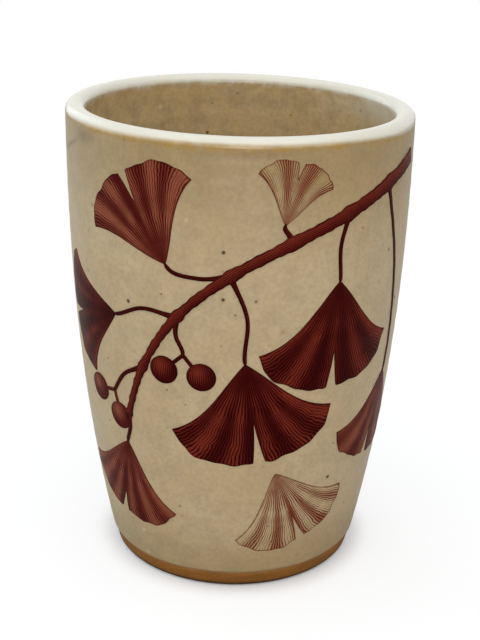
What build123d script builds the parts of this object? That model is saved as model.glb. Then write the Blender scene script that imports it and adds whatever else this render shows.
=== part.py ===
"""A handleless stoneware cup with a printed spray of fan-shaped leaves.

The cup is one turned piece of clay on a shallow foot ring. A liner glaze coats its inside and
rolls over the lip, a second glaze coats its outside down to a bare band of clay at the foot, and
the decoration is a set of cut transfers, thin films of fired colour that lie on the outer glaze.

Sizes are in millimetres. The cup stands on z = 0 with its axis on Z, and its decorated front
faces -Y. An azimuth is in degrees from the front, and grows to the right as the cup is seen.
A heading is in degrees clockwise from straight up, on the surface as it is seen from outside.
"""

import os
from dataclasses import dataclass
from math import cos, degrees, radians, sin

from build123d import *

# The cup's outside, measured over the glaze.
cup_height = 110.0
rim_radius = 40.0
foot_radius = 30.6  # at the glaze line
belly_power = 2.35  # how soon the wall turns upright as it rises from the foot
bare_band_height = 4.3  # unglazed clay, from the table up to the glaze line
bare_band_taper = 0.85  # how far the band leans in, in radius, down to the foot's edge
foot_edge_chamfer = 0.8

# The wall, the floor and the lip.
lip_thickness = 4.6
heel_thickness = 5.2
lip_crown = 2.0  # how far the rounded lip rises above its springing
floor_thickness = 6.5
floor_corner_radius = 11.0

# The underside.
foot_ring_width = 4.2  # the flat that the cup stands on, from recess to chamfer
foot_recess_depth = 1.6
foot_recess_draft = 1.0  # the recess is this much narrower in radius at its top

# The coats.
outer_glaze_thickness = 0.35
liner_glaze_thickness = 0.35
transfer_thickness = 0.12
transfer_seat = 0.02  # the bond between a transfer and the glaze, left open

# The transfers.
large_leaf_length = 26.0
middle_leaf_length = 22.0
small_leaf_length = 14.0
twig_butt_width = 3.4
twig_tip_width = 1.5
spur_radius = 1.9
stalk_width = 0.9
seed_radius = 3.3
seed_stalk_length = 6.5
transfer_gap = 0.3  # glaze left bare between the end of a stalk and the leaf it carries

# Heights along the wall where its curve is sampled, as shares of the glazed height.
wall_station_shares = (0.0, 0.08, 0.18, 0.3, 0.44, 0.6, 0.78, 1.0)

# A transfer is cut from a prism that passes through the wall: where the prism starts and ends
# on its way out from the axis, as shares of the rim radius.
prism_start_share = 0.6
prism_end_share = 1.2

# The leaf's outline, as shares of its length.
leaf_side_hollow_share = 0.05
leaf_corner_share = 0.9
leaf_cleft_lip_share = 0.97
leaf_cleft_angle = 3.0  # degrees, half the opening of the cleft at the margin

# How far from its stalk a seed of a pair is turned, in degrees.
seed_fork_angle = 42.0


@dataclass(frozen=True)
class Leaf:
    """A fan-shaped leaf: where its stalk joins it, where it points, and how wide it opens."""

    azimuth: float
    height_share: float
    heading: float
    length: float
    spread: float  # degrees, half the angle of the fan
    cleft_share: float  # depth of the cleft as a share of the length


@dataclass(frozen=True)
class SeedPair:
    """Two round seeds on one forked stalk, placed by the fork."""

    azimuth: float
    height_share: float
    heading: float


@dataclass(frozen=True)
class Stretch:
    """A stretch of the twig, by the numbers of the twig's points where it starts and ends."""

    first: int
    last: int


@dataclass(frozen=True)
class Stalk:
    """A thin stalk from a point of the twig to the leaf or the fork that hangs on it."""

    start: int  # which point of the twig, counted from the thick end
    end: object  # a Leaf or a SeedPair
    bow_share: float  # how far its middle bows to its left, as a share of its length


# The twig's points from the thick end at the right to the tip at the left: azimuth, height share.
twig_height_shares = (
    (72.0, 0.925),
    (54.0, 0.890),
    (36.0, 0.848),
    (17.0, 0.800),
    (-2.0, 0.735),
    (-19.0, 0.642),
    (-32.0, 0.520),
    (-40.0, 0.400),
)
# The twig is cut in three stretches, each facing its own way.
twig_stretches = (Stretch(0, 3), Stretch(3, 5), Stretch(5, 7))

high_leaf = Leaf(-22.0, 0.745, -30.0, middle_leaf_length, 47.0, 0.34)
left_leaf = Leaf(-42.0, 0.620, -104.0, middle_leaf_length, 46.0, 0.3)
centre_leaf = Leaf(3.0, 0.556, 171.0, large_leaf_length, 50.0, 0.42)
right_leaf = Leaf(34.0, 0.715, 180.0, large_leaf_length, 48.0, 0.36)
tip_leaf = Leaf(-42.0, 0.335, 194.0, middle_leaf_length, 47.0, 0.3)
edge_leaf = Leaf(66.0, 0.470, 190.0, middle_leaf_length, 46.0, 0.38)
young_leaf = Leaf(14.0, 0.832, 14.0, small_leaf_length, 42.0, 0.28)
low_leaf = Leaf(15.0, 0.300, 157.0, middle_leaf_length, 45.0, 0.36)

centre_seeds = SeedPair(-17.0, 0.566, 184.0)
left_seeds = SeedPair(-46.0, 0.446, 214.0)

stalks = (
    Stalk(4, high_leaf, 0.10),
    Stalk(5, left_leaf, -0.12),
    Stalk(4, centre_leaf, 0.10),
    Stalk(2, right_leaf, -0.08),
    Stalk(7, tip_leaf, 0.08),
    Stalk(1, edge_leaf, 0.06),
    Stalk(3, young_leaf, 0.0),
    Stalk(5, centre_seeds, -0.10),
    Stalk(6, left_seeds, -0.10),
)

lip_spring_height = cup_height - lip_crown


def outer_radius(height):
    """Outside radius over the glaze: foot radius at the glaze line, rim radius at the lip."""
    share = (height - bare_band_height) / (lip_spring_height - bare_band_height)
    share = min(max(share, 0.0), 1.0)
    return rim_radius - (rim_radius - foot_radius) * (1 - share) ** belly_power


def inner_radius(height):
    """Inside radius over the liner glaze: the wall thickens evenly from the lip to the floor."""
    share = (height - floor_thickness) / (lip_spring_height - floor_thickness)
    return outer_radius(height) - heel_thickness - (lip_thickness - heel_thickness) * share


def wall_curve(radius_at, low, high, offset=0.0):
    """The curve through (radius + offset, height) at the wall's stations from low to high."""
    heights = [low + (high - low) * share for share in wall_station_shares]
    return Spline(*[(radius_at(z) + offset, 0, z) for z in heights])


def lip_curve(outer, inner, top):
    """The rounded lip, from the outer springing over the top to the inner springing."""
    return Spline(
        (outer, 0, lip_spring_height),
        ((outer + inner) / 2, 0, top),
        (inner, 0, lip_spring_height),
        tangents=[(0, 0, 1), (0, 0, -1)],
    )


def floor_corner(floor_height, wall_offset):
    """The curve that turns the inner wall into the floor."""
    top = floor_thickness + floor_corner_radius
    lean = (inner_radius(top) - inner_radius(floor_thickness)) / floor_corner_radius
    start = inner_radius(top) + wall_offset
    return Spline(
        (start, 0, top),
        (start - floor_corner_radius, 0, floor_height),
        tangents=[(-lean, 0, -1), (-1, 0, 0)],
    )


def turned(*curves):
    """The solid that a closed outline in the XZ plane sweeps about the cup's axis."""
    outline = Wire([edge for curve in curves for edge in curve.edges()])
    return revolve(Face(outline), Axis.Z, 360)


# Lines that two pieces share: the clay under the outer glaze and the clay under the liner.
corner_top = floor_thickness + floor_corner_radius
clay_floor = floor_thickness - liner_glaze_thickness
clay_rim_radius = rim_radius - outer_glaze_thickness
clay_mouth_radius = rim_radius - lip_thickness + liner_glaze_thickness
clay_foot_radius = foot_radius - outer_glaze_thickness
clay_floor_radius = inner_radius(corner_top) + liner_glaze_thickness - floor_corner_radius
clay_outside = wall_curve(outer_radius, bare_band_height, lip_spring_height, -outer_glaze_thickness)
clay_lip = lip_curve(clay_rim_radius, clay_mouth_radius, cup_height - liner_glaze_thickness)
clay_inside = wall_curve(inner_radius, corner_top, lip_spring_height, liner_glaze_thickness)
clay_corner = floor_corner(clay_floor, liner_glaze_thickness)
glazed_outside = wall_curve(outer_radius, bare_band_height, lip_spring_height)
lip_break = Line((clay_rim_radius, 0, lip_spring_height), (rim_radius, 0, lip_spring_height))


def stoneware_body():
    """The turned clay: wall, floor, rounded lip, tapered bare band and foot ring."""
    edge_radius = clay_foot_radius - bare_band_taper
    stand_radius = edge_radius - foot_edge_chamfer
    recess_radius = stand_radius - foot_ring_width
    underside = Polyline(
        (clay_floor_radius, 0, clay_floor),
        (0, 0, clay_floor),
        (0, 0, foot_recess_depth),
        (recess_radius - foot_recess_draft, 0, foot_recess_depth),
        (recess_radius, 0, 0),
        (stand_radius, 0, 0),
        (edge_radius, 0, foot_edge_chamfer),
        (clay_foot_radius, 0, bare_band_height),
    )
    return turned(clay_outside, clay_lip, clay_inside, clay_corner, underside)


def liner_glaze():
    """The coat that lines the floor and the inner wall and rolls over the lip."""
    floor_radius = inner_radius(corner_top) - floor_corner_radius
    floor_edge = Polyline(
        (floor_radius, 0, floor_thickness),
        (0, 0, floor_thickness),
        (0, 0, clay_floor),
        (clay_floor_radius, 0, clay_floor),
    )
    return turned(
        lip_break,
        lip_curve(rim_radius, rim_radius - lip_thickness, cup_height),
        wall_curve(inner_radius, corner_top, lip_spring_height),
        floor_corner(floor_thickness, 0),
        floor_edge,
        clay_corner,
        clay_inside,
        clay_lip,
    )


def outer_glaze():
    """The coat on the outer wall, from the glaze line at the foot to the lip's springing."""
    glaze_line = Line((foot_radius, 0, bare_band_height), (clay_foot_radius, 0, bare_band_height))
    return turned(clay_outside, lip_break, glazed_outside, glaze_line)


def transfer_shell():
    """The thin skin over the outer glaze that every transfer is cut from."""
    under, over = (
        wall_curve(outer_radius, bare_band_height, lip_spring_height, offset)
        for offset in (transfer_seat, transfer_seat + transfer_thickness)
    )
    bottom, top = (Line(under @ end, over @ end) for end in (0, 1))
    return turned(under, top, over, bottom)


def wall_plane(azimuth):
    """The plane through the cup's axis that faces out at this azimuth, with its y upwards."""
    turn = radians(azimuth)
    return Plane((0, 0, 0), x_dir=(cos(turn), sin(turn), 0), z_dir=(sin(turn), -cos(turn), 0))


def prism(outline, azimuth):
    """The solid that a flat outline sweeps outwards through the wall at this azimuth."""
    start = prism_start_share * rim_radius
    depth = (prism_end_share - prism_start_share) * rim_radius
    plane = wall_plane(azimuth).offset(start)
    return extrude(plane * outline, depth, dir=plane.z_dir)


def moved(azimuth, height, heading, distance):
    """The azimuth and height reached over the wall from a point, along a heading."""
    turn = radians(heading)
    reach = degrees(distance * sin(turn) / outer_radius(height))
    return azimuth + reach, height + distance * cos(turn)


def leaf_outline(leaf):
    """The flat outline of a fan-shaped leaf that points up from the origin."""

    def spot(angle, share):
        turn = radians(angle)
        return leaf.length * share * sin(turn), leaf.length * share * cos(turn)

    hollow_angle = degrees(leaf_side_hollow_share / (leaf_corner_share / 2))
    edges = []
    for side in (-1, 1):
        corner = spot(side * leaf.spread, leaf_corner_share)
        hollow = spot(side * (leaf.spread - hollow_angle), leaf_corner_share / 2)
        crown = spot(side * leaf.spread / 2, 1)
        lip = spot(side * leaf_cleft_angle, leaf_cleft_lip_share)
        edges.append(ThreePointArc((0, 0), hollow, corner))
        edges.append(ThreePointArc(corner, crown, lip))
        edges.append(Line(lip, spot(0, 1 - leaf.cleft_share)))
    return Face(Wire(edges))


def leaf_prism(leaf):
    """The prism of one leaf, square to the wall behind the middle of its blade."""
    height = leaf.height_share * cup_height
    base = moved(leaf.azimuth, height, leaf.heading, transfer_gap)
    middle = moved(leaf.azimuth, height, leaf.heading, leaf.length / 2)
    across = outer_radius(height) * sin(radians(base[0] - middle[0]))
    placed = Pos(across, base[1]) * (Rot(0, 0, -leaf.heading) * leaf_outline(leaf))
    return prism(placed, middle[0])


def strip_prism(points, widths):
    """The prism of a smooth tapered strip through points, each an azimuth and a height."""
    middle = (points[0][0] + points[-1][0]) / 2
    flat = [
        Vector(outer_radius(height) * sin(radians(azimuth - middle)), height)
        for azimuth, height in points
    ]
    spine = Spline(*flat) if len(flat) > 2 else Line(*flat)
    sides = []
    for side in (-1, 1):
        edge = []
        for index, (spot, width) in enumerate(zip(flat, widths)):
            along = spine.tangent_at(index / (len(flat) - 1))
            edge.append(spot + Vector(-along.Y, along.X) * side * width / 2)
        sides.append(Spline(*edge) if len(edge) > 2 else Line(*edge))
    ends = [Line(sides[0] @ end, sides[1] @ end) for end in (0, 1)]
    return prism(Face(Wire([*sides, *ends])), middle)


def disc_prism(place, radius):
    """The prism of a disc centred at an azimuth and a height."""
    azimuth, height = place
    return prism(Pos(0, height) * Circle(radius), azimuth)


def bowed(start, end, bow_share):
    """Three points from start to end, the middle one bowed to the left of the way there."""
    radius = outer_radius((start[1] + end[1]) / 2)
    run = (radians(end[0] - start[0]) * radius, end[1] - start[1])
    bend = (degrees(-run[1] * bow_share / radius), run[0] * bow_share)
    middle = ((start[0] + end[0]) / 2 + bend[0], (start[1] + end[1]) / 2 + bend[1])
    return [start, middle, end]


def stalk_prisms(stalk, twig_points):
    """The prisms of a stalk and of the spur that it grows from."""
    start = twig_points[stalk.start]
    end = (stalk.end.azimuth, stalk.end.height_share * cup_height)
    spine = bowed(start, end, stalk.bow_share)
    return [strip_prism(spine, [stalk_width] * len(spine)), disc_prism(start, spur_radius)]


def twig_prisms():
    """The prisms of the twig's stretches, its spurs and the stalks that leave them."""
    points = [(azimuth, share * cup_height) for azimuth, share in twig_height_shares]
    taper = (twig_tip_width - twig_butt_width) / (len(points) - 1)
    widths = [twig_butt_width + taper * index for index in range(len(points))]
    prisms = [
        strip_prism(points[piece.first : piece.last + 1], widths[piece.first : piece.last + 1])
        for piece in twig_stretches
    ]
    for stalk in stalks:
        prisms.extend(stalk_prisms(stalk, points))
    return prisms


def seed_prisms(pair):
    """The prisms of two round seeds and the forked stalk that holds them."""
    fork = (pair.azimuth, pair.height_share * cup_height)
    start = moved(*fork, pair.heading, transfer_gap)
    prisms = []
    for side in (-1, 1):
        centre = moved(*fork, pair.heading + side * seed_fork_angle, seed_stalk_length)
        prisms.append(strip_prism([start, centre], [stalk_width, stalk_width]))
        prisms.append(disc_prism(centre, seed_radius))
    return prisms


def transfers():
    """The films by name, each cut back where it would lie over one that was laid before it."""
    shapes = {
        "print_twig": twig_prisms(),
        "print_leaf_high": [leaf_prism(high_leaf)],
        "print_leaf_left": [leaf_prism(left_leaf)],
        "print_leaf_centre": [leaf_prism(centre_leaf)],
        "print_leaf_right": [leaf_prism(right_leaf)],
        "print_leaf_tip": [leaf_prism(tip_leaf)],
        "print_leaf_edge": [leaf_prism(edge_leaf)],
        "print_leaf_young": [leaf_prism(young_leaf)],
        "print_leaf_low": [leaf_prism(low_leaf)],
        "print_seeds_centre": seed_prisms(centre_seeds),
        "print_seeds_left": seed_prisms(left_seeds),
    }
    shell = transfer_shell()
    laid = []
    films = {}
    for name, prisms in shapes.items():
        cutter = prisms[0].fuse(*prisms[1:]) if len(prisms) > 1 else prisms[0]
        if laid:
            cutter = cutter - laid
        films[name] = max((shell & cutter).solids(), key=lambda solid: solid.volume)
        laid.append(cutter)
    return films


pieces = {
    "stoneware_body": stoneware_body(),
    "liner_glaze": liner_glaze(),
    "outer_glaze": outer_glaze(),
}
pieces.update(transfers())

os.makedirs("parts", exist_ok=True)
for name, solid in pieces.items():
    solid.label = name
    export_step(solid, os.path.join("parts", name + ".step"))
    print(name, round(solid.volume, 1), "mm3")
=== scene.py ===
"""The look of a handleless stoneware cup with a printed spray of leaves.

Every length is in metres. The cup stands on z = 0 with its axis on Z. An azimuth is an angle about
that axis from the front (-Y), growing to the right as the cup is seen: in degrees where a motif is
placed, and in radians elsewhere. A heading is an angle on the wall, in degrees clockwise from
straight up, as the wall is seen from outside. A span is where something starts and ends.
"""

import logging
import math
from dataclasses import dataclass
from enum import Enum
from typing import Any, Callable, Optional, Sequence, Union

import bpy
import numpy as np
from mathutils import Matrix, Vector


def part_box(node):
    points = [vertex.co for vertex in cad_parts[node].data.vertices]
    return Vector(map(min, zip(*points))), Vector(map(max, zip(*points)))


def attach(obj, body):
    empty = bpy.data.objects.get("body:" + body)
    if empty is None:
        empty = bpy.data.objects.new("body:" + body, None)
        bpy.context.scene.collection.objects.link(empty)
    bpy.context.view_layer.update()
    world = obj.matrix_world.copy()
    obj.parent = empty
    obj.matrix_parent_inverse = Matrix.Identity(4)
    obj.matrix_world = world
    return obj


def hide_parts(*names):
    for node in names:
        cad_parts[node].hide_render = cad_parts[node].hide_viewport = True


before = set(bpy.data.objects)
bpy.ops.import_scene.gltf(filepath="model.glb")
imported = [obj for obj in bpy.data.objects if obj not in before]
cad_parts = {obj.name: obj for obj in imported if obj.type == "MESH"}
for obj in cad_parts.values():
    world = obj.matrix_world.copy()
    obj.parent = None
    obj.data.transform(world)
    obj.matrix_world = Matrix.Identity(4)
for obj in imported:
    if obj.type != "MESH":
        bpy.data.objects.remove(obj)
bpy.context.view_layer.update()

Array = np.ndarray
Object = bpy.types.Object
Socket = bpy.types.NodeSocket
Colour = tuple[float, ...]
Value = Union[float, Colour, Socket]
Span = tuple[float, float]
Wave = tuple[float, float, float]

LOG = logging.getLogger("cup")
BODY = "root"
CREASE_ANGLE = math.radians(38)


def srgb(red: float, green: float, blue: float) -> Colour:
    """The linear colour of a display colour.

    A channel is divided by 12.92 in its darkest part, and above that raised to the power 2.4.

    Args:
        red, green, blue: the display colour's channels, from 0 to 255.

    Returns:
        The linear red, green and blue from 0 to 1, and an alpha of 1.
    """
    share = np.array([red, green, blue]) / 255
    linear = np.where(share <= 0.04045, share / 12.92, ((share + 0.055) / 1.055) ** 2.4)
    return (*[float(v) for v in linear], 1.0)


def smooth(low: float, high: float, value: Array) -> Array:
    """A ramp from 0 at low to 1 at high, with a level start and end: 3t^2 - 2t^3."""
    t = np.clip((value - low) / (high - low), 0, 1)
    return t * t * (3 - 2 * t)


def bell(away: Array, width: Union[float, Array]) -> Array:
    """A bell that is 1 where away is 0: e to the power -(away / width)^2."""
    return np.exp(-((away / width) ** 2))


def ripple(at: Array, waves: Sequence[Wave]) -> Array:
    """A sum of sines, each given by its size, its radians to one unit and its start."""
    return sum(size * np.sin(pace * at + start) for size, pace, start in waves)


def profile(radius: Union[Array, Sequence[float]], height: Union[float, Array]) -> Array:
    """A run of a turned profile, with a radius and a height to a row."""
    return np.stack(np.broadcast_arrays(radius, height), -1)


def grid_quads(rows: int, columns: int, wrap: bool) -> Array:
    """The quads that join the points of a grid.

    Point (i, j) has number i * columns + j, and each quad joins (i, j), (i, j + 1),
    (i + 1, j + 1) and (i + 1, j).

    Args:
        rows: how many rows of points there are.
        columns: how many points a row has.
        wrap: whether the last column joins the first.

    Returns:
        The quads' point numbers, four to a row.
    """
    across = columns if wrap else columns - 1
    i, j = np.meshgrid(np.arange(rows - 1), np.arange(across), indexing="ij")
    here = i * columns + j
    beside = i * columns + (j + 1) % columns
    return np.stack([here, beside, beside + columns, here + columns], -1).reshape(-1, 4)


def mesh_object(
    name: str,
    points: Array,
    faces: Sequence[Array],
    uv: Optional[Array] = None,
    layers: Optional[dict[str, Array]] = None,
) -> Object:
    """Puts points and faces into a new object at the origin.

    Args:
        name: the object's name.
        points: the points' places, three to a row.
        faces: arrays of faces, each with one number of corners.
        uv: two surface coordinates for each point, if the finish needs them.
        layers: named values for each point, if the finish needs them.

    Returns:
        The object, smooth shaded but for its creases.
    """
    mesh = bpy.data.meshes.new(name)
    loops = np.concatenate([face.ravel() for face in faces]).astype(np.int32)
    totals = np.concatenate([np.full(len(face), face.shape[1]) for face in faces])
    starts = np.concatenate([[0], np.cumsum(totals)[:-1]])
    mesh.vertices.add(len(points))
    mesh.vertices.foreach_set("co", points.astype(np.float32).ravel())
    mesh.loops.add(len(loops))
    mesh.loops.foreach_set("vertex_index", loops)
    mesh.polygons.add(len(totals))
    mesh.polygons.foreach_set("loop_start", starts.astype(np.int32))
    mesh.polygons.foreach_set("loop_total", totals.astype(np.int32))
    mesh.polygons.foreach_set("use_smooth", np.ones(len(totals), bool))
    if uv is not None:
        chart = mesh.uv_layers.new(name="surface")
        chart.data.foreach_set("uv", uv[loops].astype(np.float32).ravel())
    for layer, values in (layers or {}).items():
        store = mesh.attributes.new(layer, "FLOAT", "POINT")
        store.data.foreach_set("value", values.astype(np.float32).ravel())
    mesh.update(calc_edges=True)
    mesh.validate()
    mesh.set_sharp_from_angle(angle=CREASE_ANGLE)
    made = bpy.data.objects.new(name, mesh)
    bpy.context.scene.collection.objects.link(made)
    return made


@dataclass(frozen=True)
class Cloud:
    """A layer of soft noise.

    Its size is the width of its larger patches, and its detail and roughness are how many finer
    layers it has and how strong they are. It is cut to run from 0 to 1 over a span of the noise,
    and its share is how much it changes what it is put on.
    """

    size: float
    cut: Span = (0.0, 1.0)
    share: float = 1.0
    detail: float = 2.0
    rough: float = 0.5


@dataclass(frozen=True)
class Speck:
    """Scattered round specks, one to a cell.

    The spacing is a cell's width. A speck fades out over a span of distances from its middle. Each
    has its own random value from 0 to 1, and over the span of the chance specks grow from nothing
    to their strength, so that one which ends at 0 leaves none out.
    """

    spacing: float
    fade: Span
    strength: float
    tint: Colour
    chance: Span = (-1.0, 0.0)


@dataclass(frozen=True)
class Mark:
    """A soft dim mark on the outer coat, which multiplies its colour.

    Its middle lies at an azimuth and a height on the wall, and it climbs to the right by its
    slant. Its length and width are half its size along and across itself, and its tint is what
    it multiplies the colour by in its middle. Its radius is the wall's there, and its depth is
    how far it reaches into and out of the wall.
    """

    azimuth: float
    height: float
    slant: float
    length: float
    width: float
    tint: Colour
    radius: float = 0.040
    depth: float = 0.008


class Graph:
    """A node tree, with a short call for each kind of node that the finishes use."""

    def __init__(self, owner: Union[bpy.types.Material, bpy.types.World]) -> None:
        """Takes over the node tree of a new material or world.

        Args:
            owner: the material or the world.
        """
        owner.use_nodes = True
        self.owner = owner
        self.tree = owner.node_tree

    def put(self, socket: Socket, value: Value) -> None:
        """Links a socket to another, or sets it to a number or a colour.

        Args:
            socket: the socket that takes the value.
            value: the other socket, the number or the colour.
        """
        if isinstance(value, bpy.types.NodeSocket):
            self.tree.links.new(value, socket)
        else:
            socket.default_value = value

    def node(
        self, kind: str, inputs: Optional[dict[Union[int, str], Value]] = None, **settings: Any
    ) -> bpy.types.Node:
        """Adds a node.

        Args:
            kind: its type's name, after ShaderNode.
            inputs: what its sockets take, by their names or numbers.
            settings: its own settings, made before its sockets are filled.

        Returns:
            The node.
        """
        node = self.tree.nodes.new("ShaderNode" + kind)
        for key, setting in settings.items():
            setattr(node, key, setting)
        for key, value in (inputs or {}).items():
            self.put(node.inputs[key], value)
        return node

    def dress(self, socket: str, value: Value) -> None:
        """Links or sets one socket of the material's surface shader."""
        self.put(self.tree.nodes["Principled BSDF"].inputs[socket], value)

    def place(self) -> Socket:
        """The place on the object, in metres."""
        return self.node("TexCoord").outputs["Object"]

    def layer(self, name: str) -> Socket:
        """The value that a named layer holds at each point."""
        return self.node("Attribute", attribute_name=name).outputs["Fac"]

    def split(self, vector: Socket) -> bpy.types.NodeOutputs:
        """The sockets X, Y and Z of a vector."""
        return self.node("SeparateXYZ", {0: vector}).outputs

    def chart(self) -> bpy.types.NodeOutputs:
        """The two surface coordinates, as the sockets X and Y."""
        return self.split(self.node("UVMap", uv_map="surface").outputs[0])

    def math(self, operation: str, *values: Value) -> Socket:
        """One arithmetic step on up to three values."""
        return self.node("Math", dict(enumerate(values)), operation=operation).outputs[0]

    def times(self, first: Value, second: Value) -> Socket:
        """The product of two values."""
        return self.math("MULTIPLY", first, second)

    def ramp(self, value: Value, low: float, high: float) -> Socket:
        """A smooth ramp of a value, from 0 at low to 1 at high."""
        inputs = {"Value": value, "From Min": low, "From Max": high}
        return self.node("MapRange", inputs, interpolation_type="SMOOTHSTEP").outputs["Result"]

    def fall(self, value: Value, low: float, high: float) -> Socket:
        """A smooth fall of a value, from 1 at low to 0 at high."""
        return self.math("SUBTRACT", 1.0, self.ramp(value, low, high))

    def mix(self, share: Value, first: Value, second: Value, blend: str = "MIX") -> Socket:
        """A mix of two colours.

        Args:
            share: 0 for the first colour, 1 for the second.
            first, second: the colours.
            blend: how the second lies over the first.

        Returns:
            The mixed colour.
        """
        node = self.node("Mix", data_type="RGBA", blend_type=blend)
        self.put(node.inputs["Factor"], share)
        colours = [socket for socket in node.inputs if socket.type == "RGBA"]
        self.put(colours[0], first)
        self.put(colours[1], second)
        return next(socket for socket in node.outputs if socket.type == "RGBA")

    def flattened(self, place: Socket, squeeze: float) -> Socket:
        """The place with its height multiplied, so that a pattern read there lies in flat streaks."""
        inputs = {0: place, 1: (1.0, 1.0, squeeze)}
        return self.node("VectorMath", inputs, operation="MULTIPLY").outputs[0]

    def reach(self, place: Socket) -> Socket:
        """The distance of a place from the origin, in metres."""
        return self.node("VectorMath", {0: place}, operation="LENGTH").outputs["Value"]

    def noise(self, place: Socket, cloud: Cloud) -> Socket:
        """A cloud's uncut noise, about 0.5."""
        inputs = {"Scale": 1 / cloud.size, "Detail": cloud.detail, "Roughness": cloud.rough}
        return self.node("TexNoise", {"Vector": place, **inputs}).outputs["Fac"]

    def cut(self, place: Socket, cloud: Cloud) -> Socket:
        """A cloud's noise, cut to run from 0 to 1."""
        return self.ramp(self.noise(place, cloud), *cloud.cut)

    def clouded(self, colour: Value, place: Socket, cloud: Cloud, tint: Value) -> Socket:
        """A colour that takes a tint, by the cloud's share, where the cloud is thick."""
        return self.mix(self.times(self.cut(place, cloud), cloud.share), colour, tint)

    def specked(self, colour: Value, place: Socket, speck: Speck) -> Socket:
        """A colour with specks scattered over it.

        Args:
            colour: the colour under the specks.
            place: where they are read.
            speck: the specks.

        Returns:
            The specked colour.
        """
        cells = self.node("TexVoronoi", {"Vector": place, "Scale": 1 / speck.spacing})
        distance = self.times(cells.outputs["Distance"], speck.spacing)
        own = self.node("SeparateColor", {0: cells.outputs["Color"]}).outputs[0]
        share = self.times(self.fall(distance, *speck.fade), self.ramp(own, *speck.chance))
        return self.mix(self.times(share, speck.strength), colour, speck.tint)

    def marked(self, colour: Value, place: Socket, mark: Mark) -> Socket:
        """A colour with a mark on it, which fades out smoothly on an ellipsoid about its middle.

        Args:
            colour: the colour under the mark.
            place: where it is read.
            mark: the mark.

        Returns:
            The marked colour.
        """
        side, front = mark.radius * math.sin(mark.azimuth), -mark.radius * math.cos(mark.azimuth)
        inputs = {
            "Vector": place,
            "Location": (side, front, mark.height),
            "Rotation": (0.0, -mark.slant, mark.azimuth),
            "Scale": (mark.length, mark.depth, mark.width),
        }
        own = self.node("Mapping", inputs, vector_type="TEXTURE").outputs[0]
        return self.mix(self.fall(self.reach(own), 0.0, 1.0), colour, mark.tint, "MULTIPLY")

    def bump(self, height: Socket, depth: float) -> None:
        """Gives the surface fine relief, where a height of 1 stands for a depth in metres."""
        node = self.node("Bump", {"Strength": 1.0, "Distance": depth, "Height": height})
        self.dress("Normal", node.outputs[0])


IRON = srgb(58, 38, 20)
HALO = srgb(136, 108, 72)
UNMELTED = srgb(216, 206, 178)


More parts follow.
